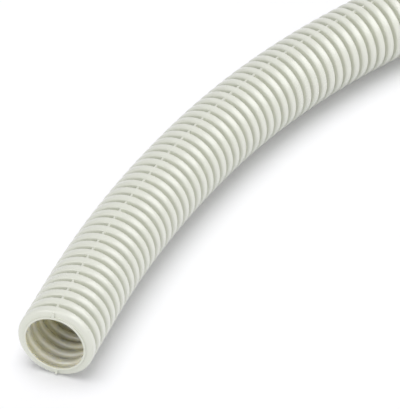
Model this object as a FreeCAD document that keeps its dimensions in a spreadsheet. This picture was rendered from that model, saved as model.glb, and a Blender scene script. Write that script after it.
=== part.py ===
import FreeCAD, Part
import math
import os
import Sketcher

# Corrugated plastic conduit, one moulded piece, cut from a coil at its grooves.
# It lies on the ground as the coil left it: a straight end, a slack bend, then an even bend
# to the straight far end. +Z is up, and the axis runs +Y into the first end.

doc = FreeCAD.newDocument("corrugated_conduit")

# Driving sizes in millimetres, the turn in degrees
driving_sizes = [
    ("outer_diameter", 25.0, "over the crests, the size the fittings are named by"),
    ("wave_height", 2.3, "from the foot of a groove to the crest"),
    ("wall", 0.7, "the same all along the wave"),
    ("crest_width", 2.6, "along the tube at the crest, before its corners are bevelled"),
    ("groove_width", 1.7, "along the tube between two crests"),
    ("flank_lean", 0.3, "how far each flank of a crest leans out over its height"),
    ("bend_bevel", 0.45, "taken off the outer corner of every bend of the wall"),
    ("cut_length", 1000.0, "shortest length along the axis, made up to whole waves"),
    ("straight_length", 25.8, "the straight stretch at each end, for a fitting to slide on"),
    ("slack_length", 90.3, "the stretch behind the first end that has opened up"),
    ("slack_radius", 410.0, "radius of that stretch at the axis"),
    ("lie_turn", 180.0, "how far the tube turns from one end to the other"),
]
sheet = doc.addObject("Spreadsheet::Sheet", "sizes")
for row, (alias, number, note) in enumerate(driving_sizes, start=1):
    sheet.set(f"A{row}", alias)
    sheet.set(f"B{row}", str(number))
    sheet.set(f"C{row}", note)
    sheet.setAlias(f"B{row}", alias)
doc.recompute()

# Sizes that follow from the driving ones, as the sketches use them
OUTER_RADIUS = "sizes.outer_diameter / 2"
GROOVE_RADIUS = "(sizes.outer_diameter / 2 - sizes.wave_height)"
HALF_CREST = "sizes.crest_width / 2"
HALF_FOOT = "(sizes.crest_width / 2 + sizes.flank_lean)"
PITCH = "(sizes.crest_width + sizes.groove_width)"
# one wave is drawn longer than its pitch by this much at each end, and the mitres trim it
SPARE_END = "sizes.groove_width / 4"
HALF_DRAWN = f"({PITCH} / 2 + {SPARE_END})"
# the flank is a slanted line, so a wall of even thickness moves it sideways by more than the wall
SLOPE = "(sizes.flank_lean / sizes.wave_height)"
WALL = "sizes.wall"
FLANK_SHIFT = f"({WALL} * (sqrt(1 + {SLOPE} * {SLOPE}) - {SLOPE}))"
BEVEL = "sizes.bend_bevel"

# the section is first drawn with these corners, from the crest to the drawn end and the axis
first_corners = [(1, 12), (1.5, 11.5), (2, 10), (3, 10), (3, 0)]


def plane_of(body, role):
    """The body's own origin plane with this role."""
    return [feature for feature in body.Origin.OriginFeatures if feature.Role == role][0]


def wave_sketch(body, name, corners):
    """Half section of one wave down to the tube's axis, from its four corners right of the middle."""
    sketch = body.newObject("Sketcher::SketchObject", name)
    sketch.AttachmentSupport = [(plane_of(body, "XZ_Plane"), "")]
    sketch.MapMode = "FlatFace"
    right = [FreeCAD.Vector(along, out, 0) for along, out in first_corners]
    left = [FreeCAD.Vector(-point.x, point.y, 0) for point in reversed(right)]
    points = left + right
    count = len(points)
    for index in range(count):
        sketch.addGeometry(Part.LineSegment(points[index], points[(index + 1) % count]), False)
    for index in range(count):
        sketch.addConstraint(Sketcher.Constraint("Coincident", index, 2, (index + 1) % count, 1))
    # the crest line joins the two halves, and these four follow it down the right half to the axis
    crest, upper_slant, lower_slant, groove, last_end = range(4, 9)
    origin, horizontal, vertical = (-1, 1), -1, -2
    for line in (crest, upper_slant, lower_slant, groove):
        sketch.addConstraint(Sketcher.Constraint("Symmetric", count - 3 - line, 2, line, 2, vertical))
    sketch.addConstraint(Sketcher.Constraint("Symmetric", 0, 1, last_end, 2, vertical))
    sketch.addConstraint(Sketcher.Constraint("PointOnObject", last_end, 2, horizontal))
    sketch.addConstraint(Sketcher.Constraint("Vertical", last_end))
    sketch.addConstraint(Sketcher.Constraint("Horizontal", groove))
    for line, (label, half_width, radius), drawn in zip(range(crest, last_end), corners, right):
        sizes = [("half", "DistanceX", half_width, drawn.x)]
        if line != groove:
            sizes.append(("radius", "DistanceY", radius, drawn.y))
        for kind_label, kind, expression, value in sizes:
            number = sketch.addConstraint(Sketcher.Constraint(kind, *origin, line, 2, value))
            sketch.renameConstraint(number, f"{label}_{kind_label}")
            sketch.setExpression(f"Constraints.{label}_{kind_label}", expression)
    doc.recompute()
    return sketch


def turn_about_axis(body, kind, name, sketch):
    """Revolve a half section once round the tube's axis."""
    feature = body.newObject(kind, name)
    feature.Profile = sketch
    feature.ReferenceAxis = (sketch, ["H_Axis"])
    feature.Angle = 360.0
    doc.recompute()
    return feature


# One wave of the wall, a turned ring with its middle at the origin and the tube along X
wave = doc.addObject("PartDesign::Body", "wave")
outside = wave_sketch(
    wave,
    "outside",
    [
        ("crest", f"{HALF_CREST} - {BEVEL}", OUTER_RADIUS),
        ("flank_top", f"{HALF_CREST} + {SLOPE} * {BEVEL}", f"{OUTER_RADIUS} - {BEVEL}"),
        ("foot", HALF_FOOT, GROOVE_RADIUS),
        ("drawn_end", HALF_DRAWN, GROOVE_RADIUS),
    ],
)
ring = turn_about_axis(wave, "PartDesign::Revolution", "ring", outside)
inside = wave_sketch(
    wave,
    "inside",
    [
        ("crest", f"{HALF_CREST} - {FLANK_SHIFT}", f"{OUTER_RADIUS} - {WALL}"),
        (
            "flank_foot",
            f"{HALF_FOOT} - {FLANK_SHIFT} - {SLOPE} * {BEVEL}",
            f"{GROOVE_RADIUS} - {WALL} + {BEVEL}",
        ),
        ("foot", f"{HALF_FOOT} - {FLANK_SHIFT} + {BEVEL}", f"{GROOVE_RADIUS} - {WALL}"),
        ("drawn_end", HALF_DRAWN, f"{GROOVE_RADIUS} - {WALL}"),
    ],
)
hollow = turn_about_axis(wave, "PartDesign::Groove", "hollow", inside)
if hollow.Shape.Volume >= ring.Shape.Volume:
    raise RuntimeError("the hollow cut nothing out of the ring")

# How the tube lies: the turn at each joint between two waves, to the right as seen from above
pitch = sheet.crest_width + sheet.groove_width
wave_count = math.ceil(sheet.cut_length / pitch)
straight_waves = round(sheet.straight_length / pitch)
slack_joints = round(sheet.slack_length / pitch)
even_joints = wave_count + 1 - 2 * straight_waves - slack_joints
slack_turn = pitch / sheet.slack_radius
even_turn = (math.radians(sheet.lie_turn) - slack_joints * slack_turn) / even_joints
joint_turns = (
    [0.0] * straight_waves
    + [slack_turn] * slack_joints
    + [even_turn] * even_joints
    + [0.0] * straight_waves
)
# how far the sewn tube's volume may be from the sum of its waves
share_lost_allowed = 1e-4


def mitred_wave(turn_before, turn_after):
    """The ring trimmed to one pitch, by planes that halve the turn to each neighbour."""
    reach = sheet.outer_diameter
    block = Part.makeBox(reach, 2 * reach, 2 * reach, FreeCAD.Vector(0, -reach, -reach))
    upright = FreeCAD.Vector(0, 0, 1)
    after = FreeCAD.Placement(
        FreeCAD.Vector(pitch / 2, 0, 0), FreeCAD.Rotation(upright, -math.degrees(turn_after) / 2)
    )
    before = FreeCAD.Placement(
        FreeCAD.Vector(-pitch / 2, 0, 0), FreeCAD.Rotation(upright, 180 + math.degrees(turn_before) / 2)
    )
    trimmed = wave.Shape.Solids[0]
    for place in (before, after):
        cutter = block.copy()
        cutter.Placement = place
        trimmed = trimmed.cut(cutter)
    return trimmed.Solids[0]


def split_faces(piece):
    """A trimmed ring's skin, and the flat cut faces at its two joints."""
    skin, cuts = [], {}
    near = pitch / 20
    for face in piece.Faces:
        centre = face.CenterOfMass
        beside_joint = abs(abs(centre.x) - pitch / 2) < near
        if isinstance(face.Surface, Part.Plane) and beside_joint:
            cuts["after" if centre.x > 0 else "before"] = face
        else:
            skin.append(face)
    return skin, cuts


def tube_shape():
    """All waves end to end along the lie of the tube, sewn to one solid."""
    kinds = {}
    faces = []
    volume = 0.0
    heading = math.pi / 2
    point = FreeCAD.Vector(0, 0, sheet.outer_diameter / 2)
    for number in range(wave_count):
        turns = (joint_turns[number], joint_turns[number + 1])
        if turns not in kinds:
            piece = mitred_wave(*turns)
            kinds[turns] = (piece.Volume, *split_faces(piece))
        piece_volume, skin, cuts = kinds[turns]
        volume += piece_volume
        heading -= turns[0]
        step = FreeCAD.Vector(math.cos(heading), math.sin(heading), 0) * pitch
        place = FreeCAD.Placement(
            point + step / 2, FreeCAD.Rotation(FreeCAD.Vector(0, 0, 1), math.degrees(heading))
        )
        used = list(skin)
        if number == 0:
            used.append(cuts["before"])
        if number == wave_count - 1:
            used.append(cuts["after"])
        for face in used:
            placed = face.copy()
            placed.Placement = place.multiply(face.Placement)
            faces.append(placed)
        point = point + step
    shell = Part.makeCompound(faces)
    shell.sewShape()
    solid = Part.Solid(shell.Shells[0])
    if solid.Volume < 0:
        solid.reverse()
    share_lost = abs(solid.Volume - volume) / volume
    if len(shell.Shells) != 1 or share_lost > share_lost_allowed:
        raise RuntimeError(f"the sewn tube holds {solid.Volume:.1f}, its waves {volume:.1f} cubic mm")
    return solid


def is_crest(face):
    """True for the outer face of a crest, one of those that reach furthest out."""
    outer_radius = sheet.outer_diameter / 2
    return isinstance(face.Surface, Part.Cylinder) and math.isclose(face.Surface.Radius, outer_radius)


conduit = doc.addObject("Part::Feature", "conduit")
conduit.Label = "conduit"
conduit.Shape = tube_shape()
# the origin is on the ground under the middle of the whole outline
mouths = [face for face in conduit.Shape.Faces if isinstance(face.Surface, Part.Plane)]
crests = [face for face in conduit.Shape.Faces if is_crest(face)]
box = Part.makeCompound(mouths + crests).optimalBoundingBox(False, False)
conduit.Placement = FreeCAD.Placement(
    FreeCAD.Vector(-box.Center.x, -box.Center.y, 0), FreeCAD.Rotation()
)
doc.recompute()

for item in doc.Objects:
    if "Invalid" in item.State or "Error" in item.State:
        raise RuntimeError(f"{item.Label} did not build")
if conduit.Shape.isNull() or not conduit.Shape.isValid():
    raise RuntimeError("the conduit is not a valid shape")

os.makedirs("parts", exist_ok=True)
conduit.Shape.exportStep("parts/conduit.step")

first_mouth = conduit.Placement.multVec(FreeCAD.Vector(0, 0, sheet.outer_diameter / 2))
even_radius = pitch / even_turn
print(f"waves {wave_count}, length along the axis {wave_count * pitch:.1f} mm, pitch {pitch:.2f} mm")
print(f"bore {sheet.outer_diameter - 2 * sheet.wave_height - 2 * sheet.wall:.2f} mm")
print(f"even bend radius {even_radius:.1f} mm, first mouth at {first_mouth}")
print(f"volume {conduit.Shape.Volume:.1f} cubic mm, outline {box.XLength:.1f} x {box.YLength:.1f} mm")
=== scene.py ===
import math
import bpy
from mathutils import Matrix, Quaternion, Vector


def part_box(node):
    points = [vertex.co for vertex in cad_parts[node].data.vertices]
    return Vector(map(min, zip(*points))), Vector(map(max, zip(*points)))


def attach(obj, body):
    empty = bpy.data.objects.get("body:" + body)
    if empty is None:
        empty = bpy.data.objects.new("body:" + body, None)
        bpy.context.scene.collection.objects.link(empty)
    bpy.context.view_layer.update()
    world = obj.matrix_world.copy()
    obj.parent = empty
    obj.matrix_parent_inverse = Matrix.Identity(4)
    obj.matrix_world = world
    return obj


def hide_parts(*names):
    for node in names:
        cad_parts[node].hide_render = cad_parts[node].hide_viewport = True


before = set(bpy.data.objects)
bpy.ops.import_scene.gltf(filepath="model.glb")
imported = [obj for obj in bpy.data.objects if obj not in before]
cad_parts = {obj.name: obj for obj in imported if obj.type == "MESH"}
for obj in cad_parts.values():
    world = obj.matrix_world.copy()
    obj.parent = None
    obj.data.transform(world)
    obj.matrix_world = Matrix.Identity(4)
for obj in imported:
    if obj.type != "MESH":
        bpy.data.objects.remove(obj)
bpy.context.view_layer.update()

mm = 0.001
onePoint = 0.001 * mm       # corners closer than this are taken as one
onRing = 0.01 * mm          # how far from a ring's place a corner is still taken as on it
conduitLow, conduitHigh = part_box("conduit")


# small helpers for picking and editing

def startClean():
    if bpy.context.object and bpy.context.object.mode != "OBJECT":
        leaveEdit()
    bpy.ops.object.select_all(action="DESELECT")


def pickOnly(obj):
    startClean()
    obj.select_set(True)
    bpy.context.view_layer.objects.active = obj


def enterEdit(obj):
    bpy.context.view_layer.objects.active = obj
    bpy.ops.object.mode_set(mode="EDIT")


def leaveEdit():
    bpy.ops.object.mode_set(mode="OBJECT")


def editAll(obj):
    enterEdit(obj)
    bpy.ops.mesh.select_all(action="SELECT")


def editSome(obj, kind, wanted):
    # edit mode with just the corners or edges that pass the test selected
    enterEdit(obj)
    bpy.ops.mesh.select_mode(type=kind)
    bpy.ops.mesh.select_all(action="DESELECT")
    leaveEdit()
    for item in (obj.data.edges if kind == "EDGE" else obj.data.vertices):
        item.select = wanted(item)
    enterEdit(obj)


def applyModifier(obj, kind, **settings):
    bpy.context.view_layer.objects.active = obj
    modifier = obj.modifiers.new(kind.title(), kind)
    for key, value in settings.items():
        setattr(modifier, key, value)
    bpy.ops.object.modifier_apply(modifier=modifier.name)


# the tube: one wave is modelled, arrayed, then laid along the line it was found in
tube = {
    "outerRadius": 12.5 * mm,
    "waveHeight": 2.3 * mm,
    "wall": 0.7 * mm,
    "crestWidth": 2.6 * mm,
    "grooveWidth": 1.7 * mm,
    "flankLean": 0.3 * mm,
    "bendRound": 0.2 * mm,
    "waves": 233,
    "straightWaves": 6,             # at each end
    "slackJoints": 21,              # joints between waves in the slow bend
    "slackRadius": 410 * mm,
    "lieTurn": math.pi,             # the whole turn from one end to the other
    "columns": 42,                  # faces round the tube
    "footSteps": 2,                 # faces along each bend of the wall, at the groove's foot
    "crestSteps": 4,                # and at the crest
    "rimBevel": 0.1 * mm,
    "rimSteps": 2,
    "smoothAngle": math.radians(50),
}
pitch = tube["crestWidth"] + tube["grooveWidth"]

# where the two halves of the mould meet, near the top and the bottom
seam = {
    "turn": math.radians(2.4),      # off upright, towards the left of the tube
    "halfWidth": 0.32 * mm,
    "foot": 0.16 * mm,              # how far each side of a web spreads
    "below": 0.7 * mm,              # how far the webs stay below the crests
    "sag": 0.1 * mm,                # how far a corner of a ring may lie inside its circle
}

# the mesh is kept in these lengths, each with its number of waves
stretches = {
    "conduit_first_end": 47,
    "conduit_slack_bend": 47,
    "conduit_middle": 47,
    "conduit_even_bend": 46,
    "conduit_far_end": 46,
}


def waveStations():
    # place along the tube and radius of each ring of one wave, from groove to groove
    low = tube["outerRadius"] - tube["waveHeight"]
    turn = math.pi / 2 - math.atan2(tube["flankLean"], tube["waveHeight"])
    stations = [Vector((-pitch / 2, low))]
    radius = tube["bendRound"]
    centre = Vector((-tube["crestWidth"] / 2 - tube["flankLean"] - radius * math.tan(turn / 2), low + radius))
    for step in range(tube["footSteps"] + 1):
        angle = turn * step / tube["footSteps"]
        stations.append(centre + radius * Vector((math.sin(angle), -math.cos(angle))))
    radius = tube["bendRound"] + tube["wall"]
    centre = Vector((-tube["crestWidth"] / 2 + radius * math.tan(turn / 2), tube["outerRadius"] - radius))
    for step in range(tube["crestSteps"] + 1):
        angle = turn * (1 - step / tube["crestSteps"])
        stations.append(centre + radius * Vector((-math.sin(angle), math.cos(angle))))
    return stations + [Vector((-place.x, place.y)) for place in reversed(stations)]


def makeWave():
    # a ring of edges pulled along X and sized at every station
    startClean()
    stations = waveStations()
    bpy.ops.mesh.primitive_circle_add(
        vertices=tube["columns"], radius=stations[0].y,
        location=(stations[0].x, 0, 0), rotation=(math.pi / 2, 0, math.pi / 2),
    )
    wave = bpy.context.object
    wave.name = "wave"
    bpy.ops.object.transform_apply(location=True, rotation=True, scale=True)
    editAll(wave)
    for before, after in zip(stations, stations[1:]):
        bpy.ops.mesh.extrude_region_move(TRANSFORM_OT_translate={"value": (after.x - before.x, 0, 0)})
        grow = after.y / before.y
        bpy.ops.transform.resize(value=(1, grow, grow), center_override=(after.x, 0, 0))
    bpy.ops.mesh.select_all(action="SELECT")
    bpy.ops.mesh.normals_make_consistent(inside=False)
    leaveEdit()
    # the second material slot is the inside's
    wave.data.materials.append(plasticOutside)
    wave.data.materials.append(plasticInside)
    applyModifier(
        wave, "SOLIDIFY", thickness=tube["wall"], offset=-1,
        use_even_offset=True, use_rim=False, material_offset=1,
    )
    addSeamWebs(wave, stations)
    return wave


def addSeamWebs(wave, stations):
    # narrow bridges of plastic across the groove, left by the joint of the mould
    across = Vector((0, math.cos(seam["turn"]), -math.sin(seam["turn"])))
    outward = Vector((0, math.sin(seam["turn"]), math.cos(seam["turn"])))
    editAll(wave)
    for away in (seam["halfWidth"], seam["halfWidth"] + seam["foot"]):
        for side in (-away, away):
            bpy.ops.mesh.select_all(action="SELECT")
            bpy.ops.mesh.bisect(plane_co=across * side, plane_no=across, threshold=onePoint)
    leaveEdit()
    top = tube["outerRadius"] - seam["below"]
    for station in stations:
        if station.y > top:
            continue
        for side in (-1, 1):
            editSome(wave, "VERT", lambda vert: abs(vert.co.x - station.x) < onRing
                     and abs(vert.co.dot(across)) < seam["halfWidth"] + onRing
                     and abs(vert.co.dot(outward) * side - station.y) < seam["sag"])
            bpy.ops.transform.translate(value=outward * side * (top - station.y))
            leaveEdit()


def makeLie():
    # the line of the tube's axis, joint by joint as the construction has it
    turns = [0] * tube["straightWaves"] + [pitch / tube["slackRadius"]] * tube["slackJoints"]
    evenJoints = tube["waves"] - len(turns) - tube["straightWaves"] + 1
    turns += [(tube["lieTurn"] - sum(turns)) / evenJoints] * evenJoints
    turns += [0] * (tube["straightWaves"] - 1)
    points = [Vector((0, 0, 0))]
    heading = math.pi / 2
    for turn in turns:
        heading -= turn
        points.append(points[-1] + pitch * Vector((math.cos(heading), math.sin(heading), 0)))
    # both ends stand square on the box's near side, the same way in from left and right
    start = Vector(((conduitLow.x + conduitHigh.x - points[-1].x) / 2, conduitLow.y, tube["outerRadius"]))
    lieData = bpy.data.curves.new("lie", "CURVE")
    lieData.dimensions = "3D"
    lieData.twist_mode = "Z_UP"
    spline = lieData.splines.new("POLY")
    spline.points.add(len(points) - 1)
    for place, point in zip(spline.points, points):
        place.co = (*(start + point), 1)
    lie = bpy.data.objects.new("lie", lieData)
    bpy.context.scene.collection.objects.link(lie)
    return lie


def closeEnd(stretch, along, isMouth):
    # the cut face between the outer and the inner ring, with its two rims eased at a mouth
    editSome(stretch, "VERT", lambda vert: abs(vert.co.x - along) < onRing)
    bpy.ops.mesh.bridge_edge_loops()
    leaveEdit()
    if not isMouth:
        return
    verts = stretch.data.vertices

    def onRim(edge):
        ends = [verts[index].co for index in edge.vertices]
        radii = [math.hypot(end.y, end.z) for end in ends]
        onCut = all(abs(end.x - along) < onRing for end in ends)
        # the edges that cross the cut face differ by the whole wall
        return onCut and abs(radii[0] - radii[1]) < tube["wall"] / 3

    editSome(stretch, "EDGE", onRim)
    bpy.ops.mesh.bevel(offset=tube["rimBevel"], segments=tube["rimSteps"], affect="EDGES")
    leaveEdit()


def makeStretch(name, wave, lie, first, count):
    pickOnly(wave)
    bpy.ops.object.duplicate()
    stretch = bpy.context.object
    stretch.name = name
    applyModifier(
        stretch, "ARRAY", count=count, use_relative_offset=False, use_constant_offset=True,
        constant_offset_displace=(pitch, 0, 0), use_merge_vertices=True, merge_threshold=onePoint,
    )
    # the wave stands with its middle at zero, and the tube starts at zero with its groove
    editAll(stretch)
    bpy.ops.transform.translate(value=((first + 0.5) * pitch, 0, 0))
    leaveEdit()
    closeEnd(stretch, first * pitch, first == 0)
    closeEnd(stretch, (first + count) * pitch, first + count == tube["waves"])
    # the straight tube's own coordinates, which the finish follows round the bends
    place = stretch.data.attributes.new("tubePlace", "FLOAT_VECTOR", "POINT")
    for spot, vert in zip(place.data, stretch.data.vertices):
        spot.vector = vert.co
    applyModifier(stretch, "CURVE", object=lie, deform_axis="POS_X")
    pickOnly(stretch)
    bpy.ops.object.shade_smooth_by_angle(angle=tube["smoothAngle"])
    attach(stretch, "root")
    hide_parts("conduit")
    return stretch


# shader nodes written as expressions

class Wire:
    # a socket that takes part in sums
    def __init__(self, shader, socket):
        self.shader = shader
        self.socket = socket

    def maths(self, operation, *values, clamp=False):
        settings = {"operation": operation, "use_clamp": clamp}
        return self.shader.node("ShaderNodeMath", settings, dict(enumerate(values)))

    def __add__(self, other):
        return self.maths("ADD", self, other)

    def __sub__(self, other):
        return self.maths("SUBTRACT", self, other)

    def __rsub__(self, other):
        return self.maths("SUBTRACT", other, self)

    def __mul__(self, other):
        return self.maths("MULTIPLY", self, other)

    def __truediv__(self, other):
        return self.maths("DIVIDE", self, other)

    def __rtruediv__(self, other):
        return self.maths("DIVIDE", other, self)

    def __abs__(self):
        return self.maths("ABSOLUTE", self)

    __radd__ = __add__
    __rmul__ = __mul__

    def root(self):
        return self.maths("SQRT", self)

    def clamped(self):
        return self.maths("ADD", self, 0.0, clamp=True)


class Shader:
    # the nodes of a material or of the world
    def __init__(self, owner):
        owner.use_nodes = True
        self.tree = owner.node_tree
        self.tree.nodes.clear()

    def node(self, kind, settings=None, inputs=None, output=0):
        added = self.tree.nodes.new(kind)
        for key, value in (settings or {}).items():
            setattr(added, key, value)
        for key, value in (inputs or {}).items():
            if isinstance(value, Wire):
                self.tree.links.new(value.socket, added.inputs[key])
            else:
                added.inputs[key].default_value = value
        return Wire(self, added.outputs[output]) if added.outputs else None

    def mixColours(self, factor, first, second):
        # sockets 0, 6 and 7 are the factor and the two colours, 2 the mixed colour
        return self.node("ShaderNodeMix", {"data_type": "RGBA"}, {0: factor, 6: first, 7: second}, 2)

    def seenOnly(self):
        # 1 for what the camera sees, also in gloss or through glass, and 0 for all other light
        camera, glossy, transmission = (
            self.node("ShaderNodeLightPath", None, None, kind)
            for kind in ("Is Camera Ray", "Is Glossy Ray", "Is Transmission Ray")
        )
        return (camera + glossy + transmission).clamped()


# the plastic outside, and inside where light that has come through the wall warms it: the wall's scattering
# lets real light through, and the inside's lighter, warmer colour is painted light on top of that
outsideLook = {
    "crest": (0.735, 0.745, 0.67, 1),
    # the darker groove colour is painted shade in the grooves, and also the tone the soft clouds lean to
    "groove": (0.67, 0.685, 0.588, 1),
    "roughness": 0.29,
    "letsThrough": 0.0,
}
insideLitThroughLook = {
    # lighter and warmer than the outside: painted light, standing for light that comes through the wall
    "crest": (0.825, 0.80, 0.68, 1),
    # darker in the grooves: painted shade, and the tone the soft clouds lean to
    "groove": (0.79, 0.765, 0.64, 1),
    "roughness": 0.4,
    "letsThrough": 1.0,
}
# what both sides share
plastic = {
    "grooveShadeShare": 0.7,              # how far the colour darkens with the depth in a groove, as painted shade
    "cloudShare": 0.3,              # and how far the soft clouds
    "cloudsPerMetre": 30,
    "cloudDetail": 4.0,
    "cloudRoughness": 0.1,
    "grainsPerMetre": 2600,         # fine grain of the mould
    "grainDetail": 3.0,
    "grainRoughness": 0.06,
    "grainHeight": 0.006 * mm,
    "seamWidth": 0.16 * mm,         # half the width of the fine line along the mould's joint
    "seamHeight": 0.03 * mm,
    "seamFade": 3,                  # the line has gone at a third of a groove's depth
    "refraction": 1.52,
    "coat": 0.8,
    "coatRoughness": 0.3,
    "scatterRadius": (1.0, 0.95, 0.7),
    "scatterScale": 2 * mm,
}


def conduitPlastic(name, look):
    material = bpy.data.materials.new(name)
    shader = Shader(material)
    place = shader.node("ShaderNodeAttribute", {"attribute_name": "tubePlace"}, None, "Vector")
    sideways, upward = (
        shader.node("ShaderNodeSeparateXYZ", None, {"Vector": place}, axis) for axis in ("Y", "Z")
    )
    clouds, fine = (
        shader.node("ShaderNodeTexNoise", None, {"Vector": place, "Scale": scale, "Detail": detail}, "Fac")
        for scale, detail in (
            (plastic["cloudsPerMetre"], plastic["cloudDetail"]),
            (plastic["grainsPerMetre"], plastic["grainDetail"]),
        )
    )
    # how deep in a groove, 0 on the crests and 1 at the foot
    radius = (sideways * sideways + upward * upward).root()
    depth = ((tube["outerRadius"] - radius) / tube["waveHeight"]).clamped()
    # the colour darkens towards the foot of each groove as painted shade, and varies at random with the soft
    # clouds
    colour = shader.mixColours(
        depth * plastic["grooveShadeShare"] + clouds * plastic["cloudShare"], look["crest"], look["groove"],
    )
    cloudGloss = (clouds - 0.5) * plastic["cloudRoughness"]
    grainGloss = (fine - 0.5) * plastic["grainRoughness"]
    # the fine line along the mould's joint, on the crests only
    fromSeam = sideways * math.cos(seam["turn"]) - upward * math.sin(seam["turn"])
    seamLine = (1 - abs(fromSeam) / plastic["seamWidth"]).clamped()
    seamLine = seamLine * (1 - depth * plastic["seamFade"]).clamped()
    height = fine * plastic["grainHeight"] + seamLine * plastic["seamHeight"]
    bump = shader.node(
        "ShaderNodeBump", None, {"Height": height / mm, "Distance": mm, "Strength": 1.0}, "Normal",
    )
    surface = shader.node("ShaderNodeBsdfPrincipled", None, {
        "Base Color": colour,
        "Roughness": look["roughness"] + cloudGloss + grainGloss,
        "Normal": bump,
        "IOR": plastic["refraction"],
        "Coat Weight": plastic["coat"],
        "Coat Roughness": plastic["coatRoughness"],
        "Subsurface Weight": look["letsThrough"],
        "Subsurface Radius": plastic["scatterRadius"],
        "Subsurface Scale": plastic["scatterScale"],
    }, "BSDF")
    shader.node("ShaderNodeOutputMaterial", None, {"Surface": surface})
    return material


plasticOutside = conduitPlastic("conduitPlastic", outsideLook)
plasticInside = conduitPlastic("conduitPlasticInside", insideLitThroughLook)
wave = makeWave()
print("wave modelled:", len(wave.data.polygons), "faces")
lie = makeLie()
lengths = []
waveNumber = 0
for name, count in stretches.items():
    lengths.append(makeStretch(name, wave, lie, waveNumber, count))
    waveNumber += count
    print(name, len(lengths[-1].data.polygons), "faces")
bpy.data.objects.remove(wave)
bpy.data.objects.remove(lie)


# the floor and the sky
studio = {
    "floorSize": 8,
    "floorColour": (0.9, 0.9, 0.925, 1),
    "floorDrop": 0.02 * mm,         # keeps the floor just clear of the tube
    "floorLift": 0.12,              # glow that takes the open floor to white in the picture
    "white": (1, 1, 1, 1),
    "skyLight": 0.48,               # how strongly the sky lights; where it is seen it is white
}


def floorFinish():
    material = bpy.data.materials.new("floor")
    shader = Shader(material)
    matt = shader.node("ShaderNodeBsdfDiffuse", None, {"Color": studio["floorColour"]}, "BSDF")
    glow = shader.node(
        "ShaderNodeEmission", None,
        {"Color": studio["white"], "Strength": shader.seenOnly() * studio["floorLift"]}, "Emission",
    )
    both = shader.node("ShaderNodeAddShader", None, {0: matt, 1: glow}, "Shader")
    shader.node("ShaderNodeOutputMaterial", None, {"Surface": both})
    return material


def makeFloor():
    startClean()
    bpy.ops.mesh.primitive_plane_add(size=studio["floorSize"], location=(0, 0, -studio["floorDrop"]))
    floor = bpy.context.object
    floor.name = "floor"
    floor.data.materials.append(floorFinish())
    return floor


def makeSky():
    world = bpy.data.worlds.new("studio")
    bpy.context.scene.world = world
    shader = Shader(world)
    strength = shader.seenOnly() * (1 - studio["skyLight"]) + studio["skyLight"]
    sky = shader.node(
        "ShaderNodeBackground", None, {"Color": studio["white"], "Strength": strength}, "Background",
    )
    shader.node("ShaderNodeOutputWorld", None, {"Surface": sky})


# each lamp stands this way, and this many metres, from the point that the camera looks at;
# its size is in metres and its power in watts, and it lights the tube or the floor alone,
# so that the tube's lamps leave no shadow of their own on the floor
lamps = {
    "backTop": {"way": (0.56, 0.38, 0.68), "away": 1.3, "size": 1.1, "power": 6.6, "lights": "conduit"},
    "front": {"way": (0.40, -0.36, 0.84), "away": 1.5, "size": 0.9, "power": 5.4, "lights": "conduit"},
    "frontFill": {"way": (-0.35, -0.88, 0.33), "away": 1.5, "size": 1.2, "power": 6.5, "lights": "conduit"},
    "topLamp": {"way": (-0.10, -0.05, 0.99), "away": 1.6, "size": 1.4, "power": 15.6, "lights": "floor"},
}


def makeLamps(floor):
    for name, lamp in lamps.items():
        way = Vector(lamp["way"]).normalized()
        bpy.ops.object.light_add(type="AREA", location=Vector(view["lookAt"]) + way * lamp["away"])
        light = bpy.context.object
        light.name = name
        light.data.shape = "DISK"
        light.data.size = lamp["size"]
        light.data.energy = lamp["power"]
        light.rotation_euler = way.to_track_quat("Z", "Y").to_euler()
        lit = bpy.data.collections.new(name + "Lit")
        for thing in (lengths if lamp["lights"] == "conduit" else [floor]):
            lit.objects.link(thing)
        light.light_linking.receiver_collection = lit


# the camera at the photo's angle
view = {
    "lookAt": (-283.73 * mm, -80.96 * mm, 0),
    "azimuth": math.radians(18.525),
    "elevation": math.radians(37.468),
    "distance": 1209.0 * mm,
    "roll": math.radians(1.119),
    "focal": 3691.7,                # in pixels of the picture
    "longSide": 409,
    "sensor": 36,
    "clip": (0.05, 50),
}


def makeCamera():
    turn, rise = view["azimuth"], view["elevation"]
    back = Vector((math.sin(turn) * math.cos(rise), -math.cos(turn) * math.cos(rise), math.sin(rise)))
    bpy.ops.object.camera_add(location=Vector(view["lookAt"]) + back * view["distance"])
    camera = bpy.context.object
    camera.name = "photoCamera"
    facing = (-back).to_track_quat("-Z", "Y")
    facing.rotate(Quaternion(back, view["roll"]))
    camera.rotation_euler = facing.to_euler()
    camera.data.sensor_width = view["sensor"]
    camera.data.lens = view["focal"] / view["longSide"] * view["sensor"]
    camera.data.clip_start, camera.data.clip_end = view["clip"]
    bpy.context.scene.camera = camera


floor = makeFloor()
makeSky()
makeLamps(floor)
makeCamera()
bpy.context.scene.view_settings.view_transform = "Standard"
print("stage, lamps and camera set")
